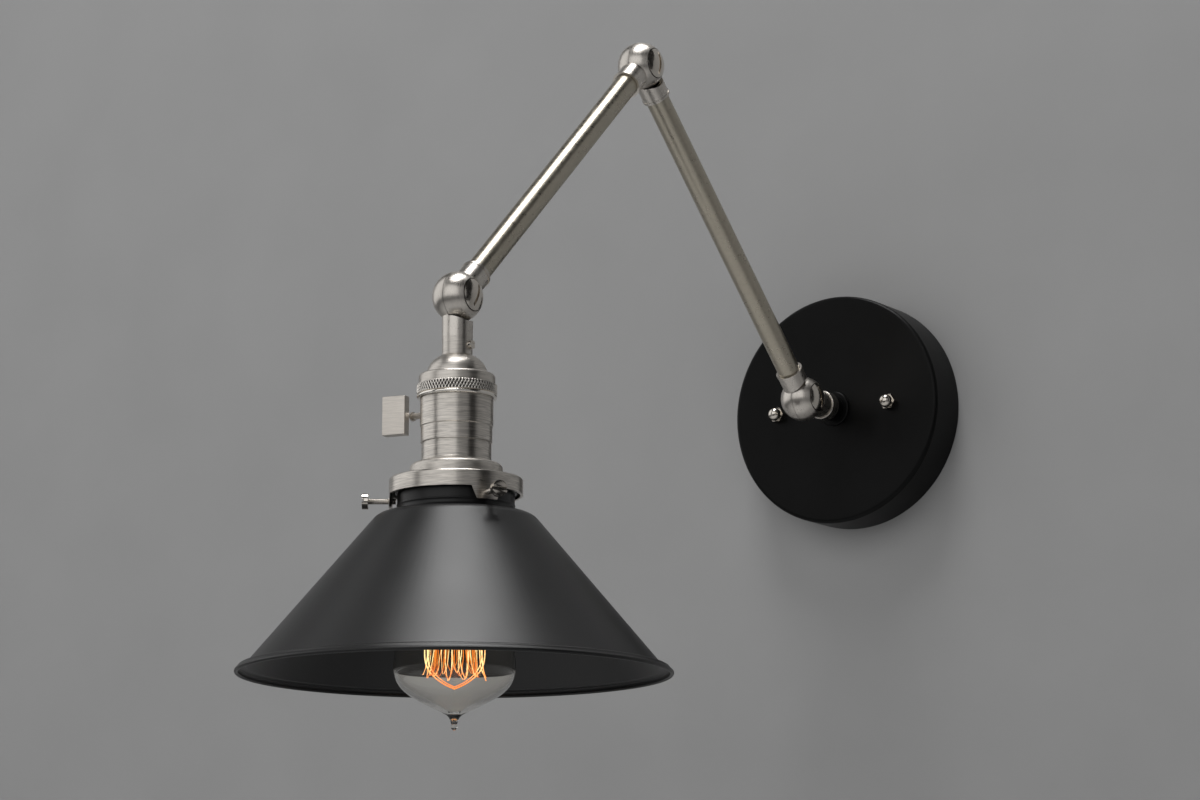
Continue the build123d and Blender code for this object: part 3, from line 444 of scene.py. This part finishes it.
def make_cap():
    """The cap: a collar, a dome that is part of an egg shape, and a skirt with a rounded shoulder."""
    radius, top, bottom = drops("socket_cap")
    dome_end, skirt_end = bottom - CAP_SKIRT, bottom + CAP_OVERLAP
    start = asin(CAP_COLLAR_RADIUS / CAP_DOME_RADIUS)
    outer = [Vector((CAP_COLLAR_RADIUS, top))]
    for step in range(CAP_DOME_STEPS + 1):
        turn = start + (pi / 2 - start) * step / CAP_DOME_STEPS
        outer.append(Vector((CAP_DOME_RADIUS * sin(turn), dome_end - CAP_DOME_RISE * cos(turn))))
    outer += rounded([(CAP_DOME_RADIUS, dome_end, 0), (radius, dome_end, CAP_SHOULDER_RADIUS),
                      (radius, skirt_end, 0)])[1:]
    inner = [Vector((max(CAP_BORE_RADIUS, point.x - CAP_WALL), min(point.y + CAP_WALL, skirt_end)))
             for point in outer]
    make_lathe("domed_cap", outer + inner[::-1], nickel_cap, "socket", ["socket_cap"])


FLANGE_BORE_RADIUS = 14.6
FLANGE_START = 0.5                  # how far the dome starts above the top of the CAD flange
FLANGE_INSET = 1.2                  # and inside the radius of the socket shell
FLANGE_FALL = 1.6                   # from the top of the CAD flange to the dome's outer corner
FLANGE_ROUND = 2.4


def make_flange():
    """The fitter's flange: a low dome with a rounded edge."""
    radius, top, bottom = drops("fitter_flange")
    start = top - FLANGE_START
    shell = drops("socket_shell")[0]
    outline = rounded([(shell - FLANGE_INSET, start, 0), (radius, top + FLANGE_FALL, FLANGE_ROUND),
                       (radius, bottom, 0)])
    outline += [Vector((FLANGE_BORE_RADIUS, bottom)), Vector((FLANGE_BORE_RADIUS, start))]
    make_lathe("domed_flange", outline, nickel_fitter, "socket", ["fitter_flange"])


# Radii and places of the shade are those of the middle of its sheet.
SHADE_WALL = 1.0
SHADE_NECK_RADIUS = 27.8
SHADE_NECK_STEP = 0.25
SHADE_NECK_ROUND = 2.9
SHADE_LIP_WALL = 2.1
SHADE_LIP_HEIGHT = 2.8
SHADE_RIDGE_RADIUS = 0.75
SHADE_RIDGE_RISE = 4.3              # above the shoulder
SHADE_SHOULDER_RISE = 77.7          # above the bottom of the CAD shade
SHADE_SHOULDER_RADIUS = 36.9
SHADE_SHOULDER_ROUND = 8.5
SHADE_CREASE_RADIUS = 98.9          # where the cone turns into the flare of the rim
SHADE_CREASE_RISE = 2.8             # above the bead's middle
SHADE_CREASE_ROUND = 0.7
SHADE_FLARE_INSET = 1.2             # where the flare turns down into the bead
SHADE_FLARE_RISE = 2.2
SHADE_FLARE_ROUND = 1.0
SHADE_BEAD_RADIUS = 1.0
SHADE_BEAD_INSET = 2.3              # from the rim of the CAD shade to the bead's middle
SHADE_BEAD_RISE = 1.5               # above the bottom of the CAD shade
SHADE_BEAD_TURN = radians(280)      # how far the bead is rolled
SHADE_BEAD_STEPS = 20


def make_shade():
    """The shade: one spun sheet from its lip to its bead."""
    radius, top, bottom = drops("shade")
    neck, rim = SHADE_NECK_RADIUS, radius - SHADE_BEAD_INSET
    shoulder, bead = bottom - SHADE_SHOULDER_RISE, bottom - SHADE_BEAD_RISE
    ridge_drop = shoulder - SHADE_RIDGE_RISE
    neck_steps = int((shoulder - SHADE_NECK_ROUND - 0.3 - top) / SHADE_NECK_STEP)
    sheet = [Vector((neck, top + SHADE_NECK_STEP * step)) for step in range(neck_steps)]
    sheet += rounded([(neck, shoulder - SHADE_NECK_ROUND - 0.2, 0),
                      (neck, shoulder, SHADE_NECK_ROUND),
                      (SHADE_SHOULDER_RADIUS, shoulder, SHADE_SHOULDER_ROUND),
                      (SHADE_CREASE_RADIUS, bead - SHADE_CREASE_RISE, SHADE_CREASE_ROUND),
                      (rim - SHADE_FLARE_INSET, bead - SHADE_FLARE_RISE, SHADE_FLARE_ROUND),
                      (rim, bead, 0)])

    def outer_half(point):
        """How far the outer face is from the middle of the sheet, with the lip and the ridge of the neck."""
        if point.y < top + SHADE_LIP_HEIGHT:
            return SHADE_LIP_WALL - SHADE_WALL / 2
        off_ridge = (point.y - ridge_drop) / SHADE_RIDGE_RADIUS
        return max(SHADE_WALL / 2, SHADE_RIDGE_RADIUS * sqrt(max(0.0, 1 - off_ridge ** 2)))

    outside, inside = moved_aside(sheet, outer_half), moved_aside(sheet, -SHADE_WALL / 2)
    start = atan2(sheet[-1].y - sheet[-2].y, sheet[-1].x - sheet[-2].x) - SHADE_BEAD_TURN / 2
    roll = []
    for step in range(SHADE_BEAD_STEPS + 1):
        turn = start + SHADE_BEAD_TURN * step / SHADE_BEAD_STEPS
        roll.append(sheet[-1] + Vector((cos(turn), sin(turn))) * SHADE_BEAD_RADIUS)
    outline = outside[:-1] + roll + inside[:-1][::-1]
    make_lathe("spun_shade", outline, black_shade, "socket", ["shade"])


GLASS_WALL = 0.6
GLASS_TIP_WALL = 2.4
GLASS_WALL_GROWTH = 1.4             # how late the wall thickens on its way to the tip
GLASS_STEPS = 26
GLASS_MIDDLE_RISE = 29.8            # of the widest place above the bottom
GLASS_TIP_RISE = 7.2
GLASS_TIP_RADIUS = 3.6
GLASS_TAIL = ((2.5, 1.2), (1.9, 2.6), (1.5, 3.8), (1.3, 4.3))      # radius, and drop below the tip
GLASS_BALL_RADIUS = 1.6
GLASS_BALL_START = radians(-50)
GLASS_BALL_STEPS = 8


def make_bulb_glass():
    """The bulb: two curves to its tip, where the wall is thicker as on a blown bulb, and a sealed tail."""
    widest, top, bottom = drops("bulb_glass")
    neck = drops("bulb_base")[0] - GLASS_WALL
    base_end = drops("bulb_base")[2]
    middle, tip = bottom - GLASS_MIDDLE_RISE, bottom - GLASS_TIP_RISE

    def curve(points):
        corners = (Vector((*point, 0)) for point in points)
        return [Vector((point.x, point.y)) for point in interpolate_bezier(*corners, GLASS_STEPS)]

    side = curve([(neck, base_end), (neck, base_end + 15), (widest, middle - 31), (widest, middle)])
    crown = curve([(widest, middle), (widest, middle + 13), (14.6, tip - 6.1), (GLASS_TIP_RADIUS, tip)])
    outer = [Vector((neck, top))] + side + crown[1:]
    inner = []
    for step, point in enumerate(outer):
        before, after = outer[max(step - 1, 0)], outer[min(step + 1, len(outer) - 1)]
        along = (after - before).normalized()
        outwards = Vector((along.y, -along.x))
        share = max(0.0, (point.y - middle) / (tip - middle))
        wall = GLASS_WALL + (GLASS_TIP_WALL - GLASS_WALL) * share ** GLASS_WALL_GROWTH
        inner.append(point - outwards * wall)
    inner = [point for point in inner if point.x > 1.0]
    floor_drop = inner[-1].y + 0.3
    tail = [Vector((radius, tip + drop)) for radius, drop in GLASS_TAIL]
    for step in range(GLASS_BALL_STEPS + 1):
        turn = GLASS_BALL_START + (pi / 2 - GLASS_BALL_START) * step / GLASS_BALL_STEPS
        tail.append(Vector((GLASS_BALL_RADIUS * cos(turn), bottom - GLASS_BALL_RADIUS * (1 - sin(turn)))))
    tail[-1].x = 0.0
    outline = outer + tail + [Vector((0, floor_drop))] + inner[::-1]
    make_lathe("bulb_envelope", outline, glass, "bulb", ["bulb_glass"])


THREAD_PITCH = 3.6
THREAD_DEPTH = 0.8
THREAD_FADE = 1.5                   # the length over which the thread rises at each end
BASE_WALL = 0.4
BASE_STEPS = 60
BASE_COLUMNS = 64
BASE_SHOULDER = 1.9                 # the height of the shoulder at the contact's end
BASE_INNER_DROP = 2.4
BASE_PLAIN_END = 3.0                # the plain part at the glass


def make_bulb_base():
    """The screw base of the bulb: a rolled round thread under a smooth shoulder."""
    radius, top, bottom = drops("bulb_base")
    inside, inner_top = radius - BASE_WALL - THREAD_DEPTH, top + BASE_INNER_DROP
    thread_start, thread_end = top + BASE_SHOULDER, bottom - BASE_PLAIN_END
    outline = [(0, top), (radius * 0.72, top), (radius * 0.9, top + 0.9)]
    for step in range(BASE_STEPS + 1):
        outline.append((radius, thread_start + (bottom - thread_start) * step / BASE_STEPS))
    outline += [(inside, bottom), (inside, inner_top), (0, inner_top)]

    def place(row, angle):
        reach, drop = outline[row]
        if reach == radius:
            fade = max(0.0, min(1.0, (drop - thread_start) / THREAD_FADE, (thread_end - drop) / THREAD_FADE))
            reach -= THREAD_DEPTH * fade * (0.5 - 0.5 * cos(2 * pi * drop / THREAD_PITCH - angle))
        return below_ball(reach, angle, drop)

    mesh = bmesh.new()
    wrap(mesh, len(outline), BASE_COLUMNS, place, closed=True)
    mesh_piece("bulb_screw_base", mesh, brass, "bulb", ["bulb_base"], crease=50)


# ---------------------------------------------------------------- filament
# Each ring of wires: how many pairs, their radius where they are fixed, and the drop of their loops.
OUTER_RING = (13, 9.2, 185.8)
INNER_RING = (12, 6.0, 184.5)
WIRE_RADIUS = 0.19
WIRE_SPREAD = 4.4                   # how much further out a wire is at its loop
WIRE_STEPS = 7
LOOP_HEIGHT = 4.5
LOOP_UNEVENNESS = 1.8
PAIR_SPACING = 9                    # half the angle between the wires of a pair, in degrees
ACROSS_THE_VIEW = radians(33.6)     # the support loop's wide side faces the room as the lamp is fitted
# The support loop: its two wires, as (offset, radius, weight), and where they go, as (share of it, drop).
SUPPORT_WIRES = ((0.0, 14.4, 1.5), (1.4, 13.2, 1.1))
SUPPORT_PATH = ((1.0, 172), (0.99, 177), (0.93, 181), (0.80, 184.6), (0.60, 187.6), (0.36, 190.2),
                (0.12, 191.8), (0.0, 192.4))
SUPPORT_START = 160


def uneven(seed):
    """A fixed uneven number between -1 and 1 for a whole number."""
    value = sin(seed * 12.9898) * 43758.5453
    return 2 * (value - floor(value)) - 1


def strand(curve, points, thickness):
    """One wire through points, given as (radius, angle, drop)."""
    spline = curve.splines.new("NURBS")
    spline.points.add(len(points) - 1)
    for point, (radius, angle, drop) in zip(spline.points, points):
        point.co = (*below_ball(radius, angle, drop), 1)
        point.radius = thickness
    spline.use_endpoint_u = True
    spline.order_u = 3


def new_wires(name):
    """An empty bundle of round wires."""
    wires = bpy.data.curves.new(name, "CURVE")
    wires.dimensions = "3D"
    wires.bevel_depth = WIRE_RADIUS * MM
    wires.bevel_resolution = 2
    wires.use_fill_caps = True
    return wires


def make_filament():
    """Two rings of uneven loops of wire, and the loop that hangs below them."""
    top = drops("filament")[1]
    outer_wires, inner_wires = new_wires("filament_wires"), new_wires("inner_filament_wires")
    rings = ((outer_wires, *OUTER_RING), (inner_wires, *INNER_RING))
    for ring, (wires, pairs, reach, deepest) in enumerate(rings):
        for pair in range(pairs):
            middle = 2 * pi * (pair + 0.32 * uneven(pair + 60 * ring)) / pairs
            low = deepest + LOOP_UNEVENNESS * uneven(pair + 40 + 60 * ring)
            for side in (-1, 1):
                seed = 7 * pair + side + 200 * ring
                spacing = radians(PAIR_SPACING + 3 * uneven(seed + 90)) * side * OUTER_RING[1] / reach
                points = [(reach, middle + 1.4 * spacing, top)]
                for step in range(1, WIRE_STEPS + 1):
                    share = step / WIRE_STEPS
                    sway = radians(2.4) * uneven(seed * 9 + step)
                    points.append((reach + WIRE_SPREAD * share ** 0.7 + 0.35 * uneven(seed * 5 + step),
                                   middle + spacing * (1.4 - 0.6 * share) + sway,
                                   top + (low - LOOP_HEIGHT - top) * share))
                points += [(reach + 4.9, middle + 0.55 * spacing, low - 1.6),
                           (reach + 5.4, middle + 0.25 * spacing, low),
                           (reach + 5.7 + 0.3 * uneven(seed), middle + 0.1 * spacing, low + 0.9)]
                strand(wires, points, 1.0 + 0.45 * uneven(seed + 3))
    for side in (-1, 1):
        for offset, reach, weight in SUPPORT_WIRES:
            angle = ACROSS_THE_VIEW + (0 if side > 0 else pi) + offset * 0.12
            points = [(reach, angle, SUPPORT_START + 3 * offset)]
            points += [(reach * share, angle, drop - offset * 0.6) for share, drop in SUPPORT_PATH]
            strand(outer_wires, points, weight)
    outer, inner = (bpy.data.objects.new(wires.name, wires) for wires in (outer_wires, inner_wires))
    finish_piece(outer, glow, "bulb", ["filament"])
    finish_piece(inner, dim_glow, "bulb", [])


# ---------------------------------------------------------------- thumbscrews
SCREW_PITCH = 0.8
SCREW_THREAD_DEPTH = 0.22
SCREW_RADIUS = 1.5
SCREW_TIP_INSET = 3.4               # how far the tip is inside the shade holder's radius
SCREW_OVERLAP = 0.3                 # how far the shaft goes on into the head
SCREW_STEPS = 90
SCREW_COLUMNS = 20
HEAD_RADIUS = 3.9
HEAD_HEIGHT = 2.9
HEAD_SLOT = 1.3
HEAD_SLOT_DEPTH = 1.1
HEAD_COLUMNS = 48
HEAD_OVERLAP = 0.13                 # how far the halves beside the slot go on into the disc


def prism(mesh, outline, start, end, matrix, soften):
    """A solid between two places along a screw, with its rims softened."""
    part = bmesh.new()
    ends = [[part.verts.new((x, y, z)) for x, y in outline] for z in (start, end)]
    part.faces.new(ends[0][::-1])
    part.faces.new(ends[1])
    for number in range(len(outline)):
        after = (number + 1) % len(outline)
        part.faces.new((ends[0][number], ends[0][after], ends[1][after], ends[1][number]))
    rims = [edge for edge in part.edges if abs(edge.verts[0].co.z - edge.verts[1].co.z) < 1e-9]
    bmesh.ops.bevel(part, geom=rims, offset=soften, segments=2, affect="EDGES", profile=0.5)
    part.transform(matrix)
    data = bpy.data.meshes.new("part")
    part.to_mesh(data)
    mesh.from_mesh(data)
    part.free()


def half_disc(radius, gap, side, steps=20):
    """The outline of the part of a disc beyond a slot's edge."""
    start = atan2(gap, sqrt(radius ** 2 - gap ** 2))
    turns = [start + (pi - 2 * start) * step / steps for step in range(steps + 1)]
    outline = [(radius * cos(turn), side * radius * sin(turn)) for turn in turns]
    return outline[::side]


def make_thumbscrew(node, joint):
    """A slotted round head on a threaded shaft that points at the socket axis."""
    outwards = Vector(joint["axis"])
    seat = Vector(joint["pos_m"])
    across = Vector((0, 0, 1)).cross(outwards)
    matrix = Matrix.Translation(seat) @ Matrix((across, Vector((0, 0, 1)), outwards)).transposed().to_4x4()
    matrix = matrix @ Matrix.Scale(MM, 4)
    reach = (seat.xy - SOCKET_BALL.xy).length / MM
    tip = drops("shade_holder")[0] - SCREW_TIP_INSET - reach
    mesh = bmesh.new()
    rows = [(0.0, tip)]
    for step in range(SCREW_STEPS + 1):
        rows.append((SCREW_RADIUS, tip + (SCREW_OVERLAP - tip) * step / SCREW_STEPS))
    rows.append((0.0, SCREW_OVERLAP))

    def place(row, angle):
        radius, along = rows[row]
        if radius:
            turns = along / SCREW_PITCH - angle / (2 * pi)
            radius -= SCREW_THREAD_DEPTH * (1 - ridge(turns, 0.5))
        return matrix @ Vector((radius * cos(angle), radius * sin(angle), along))

    wrap(mesh, len(rows), SCREW_COLUMNS, place, closed=False)
    turns = [2 * pi * column / HEAD_COLUMNS for column in range(HEAD_COLUMNS)]
    disc = [(HEAD_RADIUS * cos(turn), HEAD_RADIUS * sin(turn)) for turn in turns]
    slot_floor = HEAD_HEIGHT - HEAD_SLOT_DEPTH
    prism(mesh, disc, 0.0, slot_floor, matrix, 0.12)
    for side in (-1, 1):
        outline = half_disc(HEAD_RADIUS, HEAD_SLOT / 2, side)
        prism(mesh, outline, slot_floor - HEAD_OVERLAP, HEAD_HEIGHT, matrix, 0.25)
    mesh_piece(f"{node}_threaded", mesh, nickel_bright, node, [node], crease=40)


make_cap()
make_knurled_ring()
make_flange()
make_shade()
make_bulb_glass()
make_bulb_base()
make_filament()
for node, joint in THUMBSCREWS.items():
    make_thumbscrew(node, joint)


# ---------------------------------------------------------------- camera
AIM = Vector((-0.0239, -0.2354, -0.0262))
VIEW_AZIMUTH = radians(33.63)       # to the right of the line out of the wall
VIEW_RISE = radians(11.12)          # the camera is below the lamp and looks up
VIEW_DISTANCE = 1.75
SENSOR_WIDTH = 36.0
FOCAL_LENGTH = 99.27


def make_camera():
    """The camera, below and to the right of the lamp."""
    forward = Vector((-sin(VIEW_AZIMUTH) * cos(VIEW_RISE), cos(VIEW_AZIMUTH) * cos(VIEW_RISE),
                      sin(VIEW_RISE)))
    camera = bpy.data.objects.new("camera", bpy.data.cameras.new("camera"))
    bpy.context.scene.collection.objects.link(camera)
    camera.location = AIM - forward * VIEW_DISTANCE
    camera.rotation_euler = forward.to_track_quat("-Z", "Y").to_euler()
    camera.data.sensor_width = SENSOR_WIDTH
    camera.data.lens = FOCAL_LENGTH
    camera.data.clip_start = 0.01
    bpy.context.scene.camera = camera


# ---------------------------------------------------------------- light and setting
# Each lamp: its name, centre, facing, width, height and brightness. The last three light the floor, from
# below the lamp's height, and the side behind the wall.
PANELS = (
    ("left_panel", (-2.2, -1.525, 1.50), (1, 0, 0), 2.95, 3.5, 0.92),
    ("front_panel", (0.25, -3.0, 1.10), (0, 1, 0), 3.4, 2.6, 1.0),
    ("right_panel", (2.5, -2.1, 0.95), (-0.82, 0.57, 0), 2.0, 2.9, 0.26),
    ("top_panel", (-0.02, -0.45, 2.2), (0, 0, -1), 0.9, 1.7, 8.0),
    ("floor_panel", (0, -3.1, -0.9), (0, 0, -1), 8.0, 6.0, 0.36),
    ("rear_floor_panel", (0, 3.1, -0.9), (0, 0, -1), 8.0, 6.0, 0.36),
    ("rear_panel", (0, 2.6, -0.1), (0, -1, 0), 2.6, 1.4, 0.8),
)
ROOM_GREY = 0.012                   # what shines in metal where no lamp does
BACKGROUND_GREY = 0.285             # what the camera sees beyond the wall and the floor


def panel(name, centre, facing, width, height, brightness):
    """A rectangular lamp of an even brightness, seen only in what it lights."""
    lamp = bpy.data.lights.new(name, "AREA")
    lamp.shape = "RECTANGLE"
    lamp.size = width
    lamp.size_y = height
    lamp.energy = brightness * pi * width * height
    light = bpy.data.objects.new(name, lamp)
    bpy.context.scene.collection.objects.link(light)
    light.location = centre
    light.rotation_euler = Vector(facing).to_track_quat("-Z", "Y").to_euler()
    light.visible_camera = False


def make_world():
    """A plain grey behind everything, and a dimmer one in what shines."""
    world = bpy.data.worlds.new("studio")
    bpy.context.scene.world = world
    world.use_nodes = True
    tree = world.node_tree
    dim = tree.nodes["Background"]
    dim.inputs["Color"].default_value = (ROOM_GREY, ROOM_GREY, ROOM_GREY, 1)
    seen = tree.nodes.new("ShaderNodeBackground")
    seen.inputs["Color"].default_value = (BACKGROUND_GREY, BACKGROUND_GREY, BACKGROUND_GREY, 1)
    path = tree.nodes.new("ShaderNodeLightPath")
    in_sight = combine(tree, "MAXIMUM", path.outputs["Is Camera Ray"], path.outputs["Is Transmission Ray"])
    mix = tree.nodes.new("ShaderNodeMixShader")
    tree.links.new(in_sight, mix.inputs["Fac"])
    tree.links.new(dim.outputs["Background"], mix.inputs[1])
    tree.links.new(seen.outputs["Background"], mix.inputs[2])
    tree.links.new(mix.outputs["Shader"], tree.nodes["World Output"].inputs["Surface"])


def stage_mesh(name, points, faces, material):
    """A plain sheet of the setting."""
    mesh = bpy.data.meshes.new(name)
    mesh.from_pydata(points, [], faces)
    mesh.materials.append(material)
    sheet = bpy.data.objects.new(name, mesh)
    bpy.context.scene.collection.objects.link(sheet)


def clear_from_behind(tree, shader):
    """Lets a camera behind a sheet see through it."""
    path = tree.nodes.new("ShaderNodeLightPath")
    side = tree.nodes.new("ShaderNodeNewGeometry")
    hidden = combine(tree, "MULTIPLY", path.outputs["Is Camera Ray"], side.outputs["Backfacing"])
    clear = tree.nodes.new("ShaderNodeBsdfTransparent")
    mix = tree.nodes.new("ShaderNodeMixShader")
    tree.links.new(hidden, mix.inputs["Fac"])
    tree.links.new(shader.outputs["BSDF"], mix.inputs[1])
    tree.links.new(clear.outputs["BSDF"], mix.inputs[2])
    tree.links.new(mix.outputs["Shader"], tree.nodes["Material Output"].inputs["Surface"])


FLOOR_LEVEL = -1.6
FLOOR_REACH = 4.0


def make_floor():
    """A plain pale floor, well below the lamp."""
    material, tree, shader = new_material("floor", (0.6, 0.6, 0.6), 0.0, 0.8)
    grain = noise(tree, 40, detail=3.0)
    tree.links.new(tint(tree, grain, (0.59, 0.59, 0.59), (0.62, 0.62, 0.62)), shader.inputs["Base Color"])
    clear_from_behind(tree, shader)
    corners = ((-1, -1), (1, -1), (1, 1), (-1, 1))
    points = [(x * FLOOR_REACH, y * FLOOR_REACH, FLOOR_LEVEL) for x, y in corners]
    stage_mesh("floor", points, [(0, 1, 2, 3)], material)


WALL_LEFT, WALL_RIGHT, WALL_TOP = -3.0, 3.0, 0.62
WALL_OPENING = 0.060                # where the outlet box is, behind the wall plate
WALL_GAP = 0.0005                   # from the wall plate's rim
QUARTER_STEPS = 12                  # steps in each quarter of the opening


def make_wall():
    """The wall that the lamp is fixed to: a sheet that a camera behind it doesn't see."""
    material, tree, shader = new_material("wall", (0.43, 0.43, 0.43), 0.0, 0.9, Specular_IOR_Level=0.0)
    grain = noise(tree, 12, detail=3.0)
    tree.links.new(tint(tree, grain, (0.42, 0.42, 0.42), (0.44, 0.44, 0.44)), shader.inputs["Base Color"])
    clear_from_behind(tree, shader)
    corners = [(WALL_RIGHT, WALL_TOP), (WALL_LEFT, WALL_TOP), (WALL_LEFT, FLOOR_LEVEL),
               (WALL_RIGHT, FLOOR_LEVEL)]
    points = [(x, WALL_GAP, z) for x, z in corners]
    steps = 4 * QUARTER_STEPS
    for step in range(steps):
        turn = 2 * pi * step / steps
        points.append((WALL_OPENING * cos(turn), WALL_GAP, WALL_OPENING * sin(turn)))
    faces = []
    for corner in range(4):
        arc = [4 + (corner * QUARTER_STEPS + step) % steps for step in range(QUARTER_STEPS + 1)]
        faces.append([corner] + arc[::-1])
        faces.append([corner, (corner + 1) % 4, arc[-1]])
    stage_mesh("wall", points, faces, material)


make_camera()
make_world()
make_floor()
make_wall()
for lamp in PANELS:
    panel(*lamp)
bpy.context.scene.view_settings.view_transform = "Standard"
